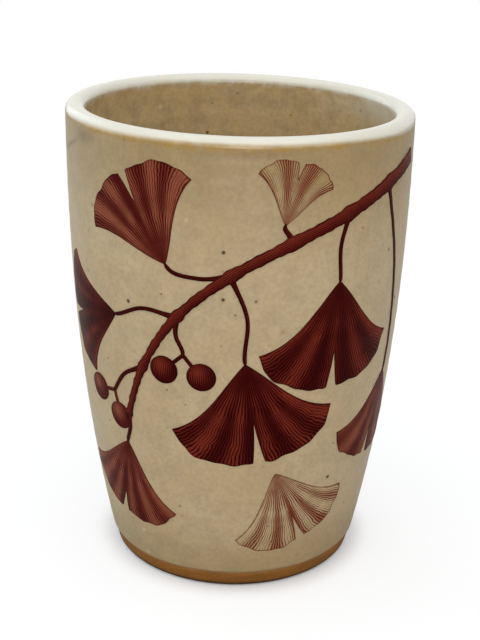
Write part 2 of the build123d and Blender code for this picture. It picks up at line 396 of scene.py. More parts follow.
@dataclass(frozen=True)
class GlazeFinish:
    """A satin stoneware glaze: mottled cream with iron specks, thin and tan where it breaks.

    The colour is the body colour, shifted by three layers of soft noise, darkened by scattered
    specks with brown haloes, and lightened by a few unmelted spots. It is multiplied by the
    painted shade tint where the layer `lean` says so, which paints shade under the lip, towards the
    foot and at the top of the inside, and by each mark's tint. The lip colour takes over where the
    layer `lip` says that the coat lies over the lip, and the break colour where the layer `thin`
    says that it is thin.
    """

    name: str
    body: Colour = srgb(183, 163, 128)
    warm: Colour = srgb(180, 154, 114)
    dull: Colour = srgb(169, 150, 117)
    lip: Colour = srgb(206, 202, 187)
    # Painted shade: the tint that darkens the glaze where the layer lean says so.
    painted_shade_tint: Colour = srgb(224, 218, 200)
    broken: Colour = srgb(158, 124, 54)
    drift: Cloud = Cloud(0.020, (0.38, 0.66), 0.60)
    mottle: Cloud = Cloud(0.0048, (0.40, 0.62), 0.55, 3.0, 0.6)
    grain: Cloud = Cloud(0.0009, (0.35, 0.70), 0.20)
    specks: tuple[Speck, ...] = (
        Speck(0.0076, (0.00040, 0.00085), 0.35, HALO),
        Speck(0.0076, (0.00030, 0.00050), 1.00, IRON, (0.15, 0.60)),
        Speck(0.0046, (0.00024, 0.00051), 0.21, HALO),
        Speck(0.0046, (0.00018, 0.00030), 0.60, IRON, (0.15, 0.60)),
        Speck(0.0100, (0.00020, 0.00090), 0.60, UNMELTED, (0.70, 0.95)),
    )
    breaks: Cloud = Cloud(0.0032, (0.36, 0.62), 0.75, 4.0, 0.62)
    least_break: float = 0.12
    satin: Cloud = Cloud(0.004, share=0.16)
    peel: Cloud = Cloud(0.0014)
    swell: Cloud = Cloud(0.0055, share=1.5, detail=1.0)
    roughness: float = 0.32
    lip_polish: float = 0.14
    relief: float = 0.00006
    marks: tuple[Mark, ...] = ()

    def colour(self, graph: Graph, place: Socket) -> Socket:
        """The glaze's colour at a place, without its lip and its breaks.

        Args:
            graph: the material that it is for.
            place: where it is read.

        Returns:
            The colour.
        """
        colour = graph.clouded(self.body, place, self.drift, self.warm)
        colour = graph.clouded(colour, place, self.mottle, self.dull)
        colour = graph.clouded(colour, place, self.grain, HALO)
        for speck in self.specks:
            colour = graph.specked(colour, place, speck)
        # Painted shade: darker under the lip, towards the foot and at the top of the inside.
        colour = graph.mix(graph.layer("lean"), colour, self.painted_shade_tint, "MULTIPLY")
        for mark in self.marks:
            colour = graph.marked(colour, place, mark)
        return colour

    def gloss(self, graph: Graph, place: Socket, polish: Value = 0.0) -> None:
        """Gives a glazed surface its satin gloss and fine orange peel.

        Args:
            graph: the material that it is for.
            place: where it is read.
            polish: how much smoother than the satin coat it is.
        """
        satin, lowest = self.satin, self.roughness - self.satin.share / 2
        level = graph.math("MULTIPLY_ADD", graph.noise(place, satin), satin.share, lowest)
        graph.dress("Roughness", graph.math("SUBTRACT", level, polish))
        swell = graph.times(graph.noise(place, self.swell), self.swell.share)
        graph.bump(graph.math("ADD", graph.noise(place, self.peel), swell), self.relief)

    def material(self) -> bpy.types.Material:
        """The material of a coat that carries the layers `thin`, `lip` and `lean`.

        Returns:
            The material.
        """
        graph = Graph(bpy.data.materials.new(self.name))
        place = graph.place()
        colour = graph.mix(graph.layer("lip"), self.colour(graph, place), self.lip)
        breaks = graph.cut(place, self.breaks)
        strength = graph.math("MULTIPLY_ADD", breaks, self.breaks.share, self.least_break)
        colour = graph.mix(graph.times(graph.layer("thin"), strength), colour, self.broken)
        graph.dress("Base Color", colour)
        self.gloss(graph, place, graph.times(graph.layer("lip"), self.lip_polish))
        return graph.owner


@dataclass(frozen=True)
class ClayFinish:
    """Bare fired stoneware: warm brown, matt and fine grained, with flat streaks.

    It flashes paler over a span of heights under the glaze line and darkens towards the stand. A
    painted contact shadow darkens it along the foot's outer edge, where it meets the table. The ring
    span is where the underside becomes the edge.
    """

    name: str = "bare_clay"
    body: Colour = srgb(142, 92, 28)
    dark: Colour = srgb(108, 64, 20)
    pale: Colour = srgb(156, 108, 46)
    # Painted contact shadow: the colour of the foot's outer edge where it meets the table.
    painted_contact_shadow: Colour = srgb(44, 28, 12)
    flashed: Colour = srgb(146, 114, 82)
    patches: Cloud = Cloud(0.007, (0.35, 0.70), 0.35, 3.0)
    grain: Cloud = Cloud(0.0007, (0.40, 0.70), 0.40, 3.0)
    streaks: Cloud = Cloud(0.009, (0.36, 0.64), 0.45, 3.0)
    specks: Speck = Speck(0.0024, (0.0001, 0.0003), 0.7, dark)
    streak_squeeze: float = 10.0
    flash: Span = (0.0034, 0.0045)
    flash_share: float = 0.8
    ring: Span = (0.0281, 0.0289)
    low: Span = (0.0, 0.0034)
    low_share: float = 0.2
    low_share_outside: float = 0.5
    # Painted contact shadow: the heights over which it fades up the foot's edge, and its strength.
    edge: Span = (0.0006, 0.0015)
    contact_shadow_share: float = 0.85
    roughness: float = 0.62
    shine: float = 0.25
    relief: float = 0.00008

    def material(self) -> bpy.types.Material:
        """The material of the turned clay.

        Returns:
            The material.
        """
        graph = Graph(bpy.data.materials.new(self.name))
        place = graph.place()
        grain = graph.cut(place, self.grain)
        streaks = graph.cut(graph.flattened(place, self.streak_squeeze), self.streaks)
        colour = graph.clouded(self.body, place, self.patches, self.dark)
        colour = graph.mix(graph.times(grain, self.grain.share), colour, self.pale)
        colour = graph.mix(graph.times(streaks, self.streaks.share), colour, self.dark)
        colour = graph.specked(colour, place, self.specks)
        rise = graph.split(place)["Z"]
        flash = graph.ramp(rise, *self.flash)
        colour = graph.mix(graph.times(flash, self.flash_share), colour, self.flashed)
        outside = graph.ramp(graph.reach(graph.flattened(place, 0.0)), *self.ring)
        low = graph.math("MULTIPLY_ADD", outside, self.low_share_outside, self.low_share)
        colour = graph.mix(graph.times(graph.fall(rise, *self.low), low), colour, self.dark)
        # Painted contact shadow along the foot's outer edge, where it meets the table.
        edge = graph.times(outside, self.contact_shadow_share)
        colour = graph.mix(graph.times(graph.fall(rise, *self.edge), edge), colour, self.painted_contact_shadow)
        graph.dress("Base Color", colour)
        graph.dress("Roughness", self.roughness)
        graph.dress("Specular IOR Level", self.shine)
        graph.bump(graph.math("ADD", grain, streaks), self.relief)
        return graph.owner


class Tone(Enum):
    """How strongly a printed motif is inked."""

    DARK = "print_dark"
    MID = "print_mid"
    PALE = "print_pale"


@dataclass(frozen=True)
class PrintFinish:
    """Fired print colour, cut in fine lines that follow the motif.

    A line pattern runs across the first surface coordinate, one line to a whole number, and
    doubles over a span of the second coordinate. Where the layer `tone` is 0 the lines close up
    to solid ink, and where it is 1 they thin out to hairlines and show the ground. A darker
    outline fades over a span of distances from the motif's edge, which the layer `edge` gives.
    """

    tone: Tone
    ink: Colour
    wash: Colour
    ground: Colour
    open_ground: bool
    doubling: Span = (0.42, 0.62)
    shake: Cloud = Cloud(0.0030, share=1.1)
    blotch: Cloud = Cloud(0.0045, share=0.5, detail=3.0)
    line_softness: float = 0.22
    washed: Span = (0.1, 0.9)
    outline: Span = (0.00012, 0.00042)
    pressure: Cloud = Cloud(0.0040, (0.35, 0.60), 0.5)
    least_pressure: float = 0.4
    wear: Cloud = Cloud(0.0006, (0.55, 0.75), 0.18)
    shine: float = 0.03

    def lines(self, graph: Graph, place: Socket) -> Socket:
        """The line pattern, from 0 to 1: a sine across, which gives way to one twice as fine.

        Args:
            graph: the material that it is for.
            place: where the lines' shake is read.

        Returns:
            The pattern.
        """
        chart = graph.chart()
        shake = graph.times(graph.noise(place, self.shake), self.shake.share)
        phase = graph.math("ADD", chart["X"], shake)
        fine = graph.ramp(chart["Y"], *self.doubling)
        shares = (graph.math("SUBTRACT", 1.0, fine), fine)
        waves = []
        for count, share in zip((1, 2), shares):
            wave = graph.math("SINE", graph.times(phase, count * math.tau))
            waves.append(graph.times(graph.math("MULTIPLY_ADD", wave, 0.5, 0.5), share))
        return graph.math("ADD", *waves)

    def material(self, glaze: GlazeFinish) -> bpy.types.Material:
        """The material of a film in this tone.

        Args:
            glaze: the coat under the film, which an open ground shows.

        Returns:
            The material.
        """
        graph = Graph(bpy.data.materials.new(self.tone.value))
        place = graph.place()
        blotch = graph.times(graph.noise(place, self.blotch), self.blotch.share)
        tone = graph.math("ADD", graph.layer("tone"), blotch)
        tone = graph.math("SUBTRACT", tone, self.blotch.share / 2)
        solid = graph.math("SUBTRACT", 1.0, tone)
        gap = graph.math("SUBTRACT", self.lines(graph, place), solid)
        gap = graph.ramp(gap, -self.line_softness, self.line_softness)
        ground = glaze.colour(graph, place) if self.open_ground else self.ground
        wash = graph.mix(graph.ramp(tone, *self.washed), self.wash, ground)
        colour = graph.mix(gap, self.ink, wash)
        pressure = graph.cut(place, self.pressure)
        pressure = graph.math("MULTIPLY_ADD", pressure, self.pressure.share, self.least_pressure)
        rim = graph.times(graph.fall(graph.layer("edge"), *self.outline), pressure)
        colour = graph.clouded(graph.mix(rim, colour, self.ink), place, self.wear, self.wash)
        graph.dress("Base Color", colour)
        graph.dress("Specular IOR Level", self.shine)
        glaze.gloss(graph, place)
        return graph.owner


@dataclass(frozen=True)
class CupForm:
    """The cup's shape over its glaze, with the small unevenness of a thrown pot."""

    height: float
    rim_radius: float
    glaze_line: float
    foot_radius: float = 0.0306
    belly_power: float = 2.35
    lip_crown: float = 0.0020
    lip_thickness: float = 0.0046
    heel_thickness: float = 0.0052
    floor_thickness: float = 0.0065
    corner_radius: float = 0.0110
    coat: float = 0.00035
    rim_tilt: float = -0.012
    oval: float = 0.00016
    oval_start: float = 0.7
    three_sided: float = 0.00009
    three_sided_start: float = 2.1
    ring_pitch: float = 0.0052
    ring_height: float = 0.00003
    ring_change: float = 0.35
    ring_change_pace: float = 190.0
    ring_fade: float = 0.006
    # Painted shade: its spans under the lip and above the glaze line, and its strength at the foot.
    painted_shade_under_lip: Span = (0.080, 0.107)
    painted_shade_at_foot: Span = (0.001, 0.016)
    foot_painted_shade: float = 0.8

    @classmethod
    def from_frame(cls) -> "CupForm":
        """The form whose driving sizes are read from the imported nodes.

        Returns:
            The form.
        """
        liner_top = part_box("liner_glaze")[1].z
        glaze_low, glaze_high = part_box("outer_glaze")
        return cls(height=liner_top, rim_radius=glaze_high.x, glaze_line=glaze_low.z)

    @property
    def spring(self) -> float:
        """The height where the rounded lip springs from the wall."""
        return self.height - self.lip_crown

    @property
    def mouth(self) -> float:
        """The radius over the liner glaze at the springing."""
        return self.rim_radius - self.lip_thickness

    @property
    def corner_top(self) -> float:
        """The height where the inner wall starts to turn into the floor."""
        return self.floor_thickness + self.corner_radius

    def outer(self, height: Array) -> Array:
        """Radius over the outer glaze: rim - (rim - foot) * (1 - share of the height)^power."""
        share = np.clip((height - self.glaze_line) / (self.spring - self.glaze_line), 0, 1)
        return self.rim_radius - (self.rim_radius - self.foot_radius) * (1 - share) ** self.belly_power

    def inner(self, height: Array) -> Array:
        """Radius over the liner glaze: the outer radius less a wall that thins evenly upwards.

        Args:
            height: where it is read.

        Returns:
            The radius.
        """
        share = (height - self.floor_thickness) / (self.spring - self.floor_thickness)
        wall = self.heel_thickness + (self.lip_thickness - self.heel_thickness) * share
        return self.outer(height) - wall

    def rings(self, azimuth: Array, height: Array) -> Array:
        """The throwing rings, from -1 to 1.

        They are a sine up the wall that climbs once each turn, times a share that changes slowly.

        Args:
            azimuth, height: where they are read.

        Returns:
            Their height as a share.
        """
        climb = math.tau * height / self.ring_pitch + azimuth
        change = np.sin(height * self.ring_change_pace + 2 * azimuth)
        return np.sin(climb) * (1 - self.ring_change + self.ring_change * change)

    def glazed(self, azimuth: Array, height: Array) -> Array:
        """Radius over the outer glaze, with throwing rings that fade out under the lip."""
        fade = smooth(0, self.ring_fade, self.spring - height)
        return self.outer(height) + self.ring_height * self.rings(azimuth, height) * fade

    def lean(self, height: Array) -> Array:
        """Painted shade on the outer coat: full near the lip, and nearly so at the glaze line."""
        foot = 1 - smooth(*self.painted_shade_at_foot, height - self.glaze_line)
        return smooth(*self.painted_shade_under_lip, height) + self.foot_painted_shade * foot

    def place(self, azimuth: Array, radius: Array, height: Array) -> Array:
        """Points on the uneven cup.

        The radius swells by two and three waves to the turn, which grow with height and radius.
        The height grows by the rim's tilt times x, in proportion to the height.

        Args:
            azimuth: angles from the front.
            radius, height: the even cup's radius and height there.

        Returns:
            The points, with x, y and z on the last axis.
        """
        share = radius / self.rim_radius * height / self.height
        waves = self.oval * np.cos(2 * azimuth + self.oval_start)
        waves = waves + self.three_sided * np.cos(3 * azimuth + self.three_sided_start)
        spread = radius + share * waves
        x, y = spread * np.sin(azimuth), -spread * np.cos(azimuth)
        return np.stack([x, y, height * (1 + self.rim_tilt * x / self.height)], -1)

    def lip(self, inset: float, rows: int) -> Array:
        """The rounded lip as half an ellipse, from its outer to its inner springing.

        Args:
            inset: how far it lies under the glazed surface.
            rows: how many points it has.

        Returns:
            Its profile.
        """
        turn = np.linspace(0, math.pi, rows)
        outer, inner = self.rim_radius - inset, self.mouth + inset
        across = (outer + inner) / 2 + (outer - inner) / 2 * np.cos(turn)
        return profile(across, self.spring + (self.lip_crown - inset) * np.sin(turn))

    def corner(self, inset: float, rows: int) -> Array:
        """The quarter ellipse that turns the inner wall into the floor.

        Args:
            inset: how far it lies under the glazed surface.
            rows: how many points it has.

        Returns:
            Its profile.
        """
        turn = np.linspace(0, math.pi / 2, rows)
        wall, floor = float(self.inner(self.corner_top)) + inset, self.floor_thickness - inset
        across = wall - self.corner_radius * (1 - np.cos(turn))
        return profile(across, self.corner_top - (self.corner_top - floor) * np.sin(turn))


def turned_object(
    name: str,
    form: CupForm,
    azimuth: Array,
    radius: Array,
    height: Array,
    poles: bool,
    layers: dict[str, Array],
) -> Object:
    """Turns a profile about the axis into a closed mesh.

    Row i, column j of the grid is form.place(azimuth[j], radius[i, j], height[i, j]). With poles,
    the first and last rows are joined to a point on the axis at their own height; without them,
    the last row joins the first.

    Args:
        name: the object's name.
        form: the cup's uneven form.
        azimuth: the columns' angles, a whole turn without its last point.
        radius, height: the profile, one row to a point, alike or not round the turn.
        poles: whether the profile starts and ends on the axis.
        layers: named values, shaped as the radius is.

    Returns:
        The object.
    """
    shape = rows, columns = np.broadcast_shapes(radius.shape, height.shape, (1, len(azimuth)))
    radius, height = np.broadcast_to(radius, shape), np.broadcast_to(height, shape)
    grid = form.place(azimuth[None, :], radius, height)
    points = grid.reshape(-1, 3)
    values = {key: np.broadcast_to(value, shape).ravel() for key, value in layers.items()}
    faces = [grid_quads(rows, columns, True)]
    column = np.arange(columns)
    beside = (column + 1) % columns
    last = (rows - 1) * columns
    if poles:
        ends = np.array([[0, 0, grid[row, :, 2].mean()] for row in (0, -1)])
        points = np.concatenate([points, ends])
        first_pole, last_pole = rows * columns, rows * columns + 1
        faces.append(np.stack([np.full(columns, first_pole), beside, column], -1))
        faces.append(np.stack([np.full(columns, last_pole), last + column, last + beside], -1))
        values = {key: np.append(value, [value[0], value[-1]]) for key, value in values.items()}
    else:
        faces.append(np.stack([last + column, last + beside, beside, column], -1))
    return mesh_object(name, points, faces, layers=values)


@dataclass(frozen=True)
class Vessel:
    """The turned clay and its two coats.

    The recess has fine turning lines and turns into the foot ring by three steps, each a step out
    and a height. The bulge is how far the bevel stands out from a straight one. The veil is where the
    lip's cream colour reaches down inside, furthest about the right, and the run is what has run
    down outside. Each piece's rows are how many points the runs of its profile have, in their order.
    """

    form: CupForm
    columns: int = 288
    ring_width: float = 0.0042
    recess_depth: float = 0.0016
    recess_draft: float = 0.0010
    recess_middle: float = 0.002
    turning_pitch: float = 0.0024
    turning_depth: float = 0.00005
    ring_steps: tuple[Span, ...] = ((-0.0002, 0.0004), (0.0, 0.0001), (0.0003, 0.0))
    ring_flat: float = 0.001
    band_taper: float = 0.00085
    band_start: float = 0.0012
    foot_rounding: float = 0.0008
    bevel_start: float = 0.1
    bulge: float = 0.25
    pole_radius: float = 0.001
    line_wander: float = 0.00014
    line_waves: tuple[Wave, ...] = ((1.0, 1, 0.5), (0.45, 5, 2.0), (0.3, 11, 4.1))
    bead: float = 0.00060
    bead_leanness: float = 0.6
    back_inset: float = 0.00002
    cover: Span = (0.0001, 0.0013)
    break_width: float = 0.00060
    break_drop: float = 0.0002
    break_waves: tuple[Wave, ...] = ((0.35, 3, 2.02), (0.25, 7, 2.62))
    run_length: float = 0.0010
    run_azimuth: float = 1.20
    run_width: float = 0.40
    inner_cover: Span = (-0.0013, 0.0008)
    veil_length: float = 0.0080
    veil_azimuth: float = 1.85
    veil_width: float = 0.45
    veil_strength: float = 0.72
    inner_break: float = 0.8
    inner_break_veiled: float = 0.5
    inner_break_drop: float = 0.0004
    inner_break_width: float = 0.0009
    # Painted shade at the top of the inside: its span about the springing, and its strength.
    inner_painted_shade: Span = (-0.013, -0.001)
    inner_shade_share: float = 0.6
    inner_ring_share: float = 1.8
    inner_ring_fade: float = 0.012
    inner_ring_middle: float = 0.02
    clay_rows: tuple[int, ...] = (26, 4, 8, 60, 17, 40, 14)
    coat_rows: tuple[int, ...] = (7, 96, 24, 24)
    coat_close_share: Span = (0.94, 0.945)
    liner_rows: tuple[int, ...] = (12, 20, 13, 41, 150, 30, 16)

    @property
    def azimuth(self) -> Array:
        """The angles of the columns of points, a whole turn from the front."""
        return np.linspace(0, math.tau, self.columns, endpoint=False)

    def glaze_line(self) -> Array:
        """The height of the glaze line round the cup: level, with three slow waves."""
        return self.form.glaze_line + self.line_wander * ripple(self.azimuth, self.line_waves)

    def lip_run(self, azimuth: Array) -> Array:
        """How far the lip's pale glaze has run down the outside: a bell about the right."""
        return self.run_length * bell(azimuth - self.run_azimuth, self.run_width)

    def lip_cover(self, azimuth: Array, height: Array) -> Array:
        """How much of the lip's pale glaze covers the outside: a soft step at the springing."""
        return smooth(*self.cover, height - self.form.spring + self.lip_run(azimuth))

    def lip_break(self, azimuth: Array, height: Array) -> Array:
        """How thin the coat breaks under the lip.

        It is a bell about a line just below the springing, of a width that wanders as two waves
        round the cup and is greatest at the front.

        Args:
            azimuth, height: where it is read.

        Returns:
            The thinness, from 0 to 1.
        """
        width = self.break_width * (1 + ripple(azimuth, self.break_waves))
        above = height - self.form.spring + self.lip_run(azimuth)
        return bell(above + self.break_drop, width)

    def clay(self) -> Object:
        """The clay: recess, ring, bevelled foot edge, leaning band, wall, lip, inside and floor.

        Returns:
            The object, which stands for the node of the clay body.
        """
        form, coat, rows = self.form, self.form.coat, self.clay_rows
        stand = form.foot_radius - coat - self.band_taper - self.foot_rounding
        recess = stand - self.ring_width
        groove = np.linspace(self.recess_middle, recess - self.recess_draft, rows[0])
        lines = self.turning_depth * np.sin(groove * math.tau / self.turning_pitch)
        edge = np.linspace(self.bevel_start, 1, rows[2])
        bevel = np.stack([1 + self.bulge - self.bulge * edge, 1 - self.bulge + self.bulge * edge], -1)
        wall = np.linspace(self.band_start, form.spring, rows[3])
        lean = np.clip((form.glaze_line - wall) / (form.glaze_line - self.foot_rounding), 0, 1)
        inside = np.linspace(form.spring, form.corner_top, rows[5])
        outline = np.concatenate(
            [
                profile(groove, self.recess_depth + lines),
                np.array(self.ring_steps) + [recess, 0],
                profile(np.linspace(recess + self.ring_flat, stand, rows[1]), 0.0),
                self.foot_rounding * edge[:, None] * bevel + [stand, 0],
                profile(form.outer(wall) - coat - self.band_taper * lean, wall),
                form.lip(coat, rows[4])[1:],
                profile(form.inner(inside) + coat, inside)[1:],
                form.corner(coat, rows[6])[1:],
                profile([self.pole_radius], form.floor_thickness - coat),
            ]
        )
        radius, height = outline[:, :1], outline[:, 1:]
        made = turned_object("clay_body", form, self.azimuth, radius, height, True, {})
        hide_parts("stoneware_body")
        return made

    def outer_coat(self) -> Object:
        """The outer glaze: a rolled edge at the glaze line, then the wall up to the lip.

        The edge is a quarter ellipse out from the clay. The layer `thin` rises to 1 just under
        the lip, where the fired coat breaks thin over the turn of the clay, and at the very edge
        of the glaze line. The wall's rows stand closer together near the lip.

        Returns:
            The object, which stands for the node of the outer glaze.
        """
        form, azimuth, rows = self.form, self.azimuth[None, :], self.coat_rows
        line = self.glaze_line()[None, :]
        roll = np.linspace(0, math.pi / 2, rows[0])[:, None]
        low = np.linspace(0, self.coat_close_share[0], rows[1])
        rise = np.concatenate([low, np.linspace(self.coat_close_share[1], 1, rows[2])])[:, None]
        edge_height = line + self.bead * (1 - np.cos(roll))
        edge_radius = form.glazed(azimuth, edge_height) - form.coat * (1 - np.sin(roll))
        wall_foot = line + self.bead
        wall_height = wall_foot + (form.spring - wall_foot) * rise
        back_height = line + (form.spring - line) * np.linspace(1, 0, rows[3])[:, None]
        back_radius = form.outer(back_height) - form.coat
        height = np.concatenate([edge_height[:-1], wall_height, back_height])
        radius = np.concatenate([edge_radius[:-1], form.glazed(azimuth, wall_height), back_radius])
        radius[-1] -= self.back_inset
        bead = self.bead_leanness * (1 - smooth(0.0, self.bead, height - line))
        layers = {
            "thin": np.clip(self.lip_break(azimuth, height) + bead, 0, 1),
            "lip": self.lip_cover(azimuth, height),
            # Painted shade under the lip and towards the foot.
            "lean": form.lean(height),
        }
        made = turned_object("outer_coat", form, self.azimuth, radius, height, False, layers)
        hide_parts("outer_glaze")
        return made

    def liner_layers(self, azimuth: Array, radius: Array, height: Array) -> dict[str, Array]:
        """The liner's layers, which differ outside and inside the middle of the lip.

        Args:
            azimuth, radius, height: where they are read.

        Returns:
            The layer `lip`, which is 1 over the lip, `thin`, which is 1 where the coat meets the
            outer glaze and where it turns inwards, and `lean`, painted shade that is full outside the
            middle of the lip and darkens the top of the inside.
        """
        form = self.form
        outside = radius > (form.rim_radius + form.mouth) / 2
        above = height - form.spring
        veil = bell(azimuth - self.veil_azimuth, self.veil_width)
        cover = smooth(*self.inner_cover, above)
        run = self.veil_strength * veil * smooth(-self.veil_length, 0, above)
        thin = self.inner_break - self.inner_break_veiled * veil
        thin = thin * bell(above + self.inner_break_drop, self.inner_break_width)
        # Painted shade at the top of the inside.
        lean = self.inner_shade_share * smooth(*self.inner_painted_shade, above)
        return {
            "thin": np.where(outside, self.lip_break(azimuth, height), thin),
            "lip": np.where(outside, self.lip_cover(azimuth, height), cover + (1 - cover) * run),
            "lean": np.where(outside, 1.0, lean),
        }

    def liner_coat(self) -> Object:
        """The liner glaze: under the floor, up the clay, over the lip and down to the floor.

        Its face towards the clay comes first, then the lip and the inside, which show.

        Returns:
            The object, which stands for the node of the liner glaze.
        """
        form, coat, rows = self.form, self.form.coat, self.liner_rows
        up = np.linspace(form.corner_top, form.spring, rows[1])
        down = np.linspace(form.spring, form.corner_top, rows[4])
        hidden = [
            profile([self.pole_radius], form.floor_thickness - coat),
            form.corner(coat, rows[0])[::-1],
            profile(form.inner(up) + coat, up)[1:],
            form.lip(coat, rows[2])[::-1][1:],
            form.lip(0.0, rows[3]),
        ]
        corner = form.corner(0.0, rows[5])
        floor = np.linspace(corner[-1, 0], self.pole_radius, rows[6])
        inside = [
            profile(form.inner(down), down)[1:],
            corner[1:],
            profile(floor, form.floor_thickness)[1:],
        ]
        outline = np.concatenate(hidden + inside)
        radius, height = outline[:, :1], outline[:, 1:]
        azimuth = self.azimuth[None, :]
        shows = np.arange(len(outline))[:, None] >= sum(len(run) for run in hidden)
        fade = smooth(0, self.inner_ring_fade, form.spring - height)
        fade = fade * smooth(0.0, self.inner_ring_middle, radius)
        rings = self.inner_ring_share * form.ring_height * form.rings(azimuth, height)
        layers = self.liner_layers(azimuth, radius, height)
        radius = radius + rings * fade * shows
        made = turned_object("liner_coat", form, self.azimuth, radius, height, True, layers)
        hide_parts("liner_glaze")
        return made


@dataclass(frozen=True)
class Wall:
    """The glazed wall as a sheet that a print is laid on.

    A film stands a little out of the glaze and is sunk a little into it. A strip's lines are a
    pitch apart, and its tone falls by its shading from its middle to its lower side.
    """

    form: CupForm
    film: float = 0.00005
    sunk: float = 0.00003
    strip_columns: int = 9
    strip_pitch: float = 0.00042
    strip_shading: float = 0.35
    strip_end: float = 0.0001

    def spot(self, azimuth: float, height_share: float) -> Span:
        """A place on the wall as an angle in radians and a height."""
        return math.radians(azimuth), height_share * self.form.height

    def moved(self, start: Span, heading: float, distance: float) -> Span:
        """The place that lies a distance along a heading from another."""
        side, rise = math.sin(math.radians(heading)), math.cos(math.radians(heading))
        return start[0] + distance * side / float(self.form.outer(start[1])), start[1] + distance * rise

    def lay(self, middle: float, x: Array, y: Array) -> tuple[Array, Array]:
        """Wraps a flat drawing on the wall.

        A drawing is held square to the wall at the middle azimuth and pressed straight back, so a
        point x to the side lands at the angle whose sine is x over the radius there.

        Args:
            middle: the azimuth that the drawing faces.
            x, y: the drawing's points, across and up.

        Returns:
            The points' azimuths and heights.
        """
        return middle + np.arcsin(np.clip(x / self.form.outer(y), -1, 1)), y

    def film_object(
        self,
        name: str,
        azimuth: Array,
        height: Array,
        uv: Array,
        layers: dict[str, Array],
        lift: float,
    ) -> Object:
        """A thin closed film on the wall, from a grid of places.

        Args:
            name: the object's name.
            azimuth, height: the grid, its rows and columns turning the same way as the wall's.
            uv: the surface coordinates of the grid's points, with two values on the last axis.
            layers: named values of the grid's points.
            lift: how much further out the film lies than one laid straight on the glaze.

        Returns:
            The object.
        """
        rows, columns = azimuth.shape
        radius = self.form.glazed(azimuth, height)
        top = self.form.place(azimuth, radius + self.film + lift, height).reshape(-1, 3)
        under = self.form.place(azimuth, radius - self.sunk, height).reshape(-1, 3)
        quads = grid_quads(rows, columns, False)
        count = rows * columns
        number = np.arange(count).reshape(rows, columns)
        loop = np.concatenate([number[0, :-1], number[:-1, -1], number[-1, :0:-1], number[:0:-1, 0]])
        after = np.roll(loop, -1)
        side = np.stack([loop + count, after + count, after, loop], -1)
        faces = [quads, quads[:, ::-1] + count, side]
        chart = np.tile(uv.reshape(-1, 2), (2, 1))
        # The films take the wall's painted shade, which a pale print's open ground shows.
        shared = {**layers, "lean": self.form.lean(height)}
        values = {key: np.tile(value.ravel(), 2) for key, value in shared.items()}
        return mesh_object(name, np.concatenate([top, under]), faces, uv=chart, layers=values)

    def knots(self, points: Array) -> Array:
        """How far each of some places is from the first, along the straight runs between them."""
        run = np.diff(points, axis=0) * [self.form.rim_radius, 1]
        return np.concatenate([[0], np.cumsum(np.hypot(run[:, 0], run[:, 1]))])

    def follow(self, points: Array, rows: int) -> tuple[Array, Array]:
        """A smooth path over places on the wall.

        Each stretch is a cubic whose slope at a place is that of the line between its neighbours.

        Args:
            points: the places, an azimuth and a height to a row.
            rows: how many points the path gets.

        Returns:
            The path's points and, for each, the distance along it from the start.
        """
        knots = self.knots(points)
        slopes = np.gradient(points, knots, axis=0)
        at = np.linspace(0, knots[-1], rows)
        stretch = np.clip(np.searchsorted(knots, at) - 1, 0, len(knots) - 2)
        width = (knots[stretch + 1] - knots[stretch])[:, None]
        t = (at - knots[stretch])[:, None] / width
        path = (2 * t**3 - 3 * t**2 + 1) * points[stretch] + (3 * t**2 - 2 * t**3) * points[stretch + 1]
        path += width * ((t**3 - 2 * t**2 + t) * slopes[stretch] + (t**3 - t**2) * slopes[stretch + 1])
        return path, at

    def strip(
        self,
        name: str,
        points: Array,
        widths: Callable[[Array], Array],
        rows: int,
        lift: float,
        shade: float,
    ) -> Object:
        """A printed strip along a smooth path.

        Column j lies a share of half the width to the side of the path. The layer `tone` is darker
        along the lower side, as on a round stem, and the line pattern runs along the strip.

        Args:
            name: the object's name.
            points: the path's places, an azimuth and a height to a row.
            widths: the strip's width at each distance along the path.
            rows: how many points the path gets.
            lift: how much further out it lies than other films.
            shade: the tone in the middle of the strip.

        Returns:
            The object.
        """
        path, along = self.follow(points, rows)
        radius = self.form.outer(path[:, 1])
        step = np.gradient(path, along, axis=0) * np.stack([radius, np.ones(rows)], -1)
        step /= np.hypot(step[:, 0], step[:, 1])[:, None]
        half = widths(along)[:, None] / 2
        side = np.linspace(-1, 1, self.strip_columns)[None, :]
        reach = half * side
        azimuth = path[:, :1] + reach * step[:, 1:] / radius[:, None]
        height = path[:, 1:] - reach * step[:, :1]
        rest = np.minimum(along, along[-1] - along)[:, None] + self.strip_end
        lower = side * np.where(step[:, :1] > 0, 1, -1)
        layers = {
            "edge": np.minimum((1 - np.abs(side)) * half, rest),
            "tone": shade - self.strip_shading * lower,
        }
        uv = np.stack([reach / self.strip_pitch, np.zeros_like(reach)], -1)
        return self.film_object(name, azimuth, height, uv, layers, lift)


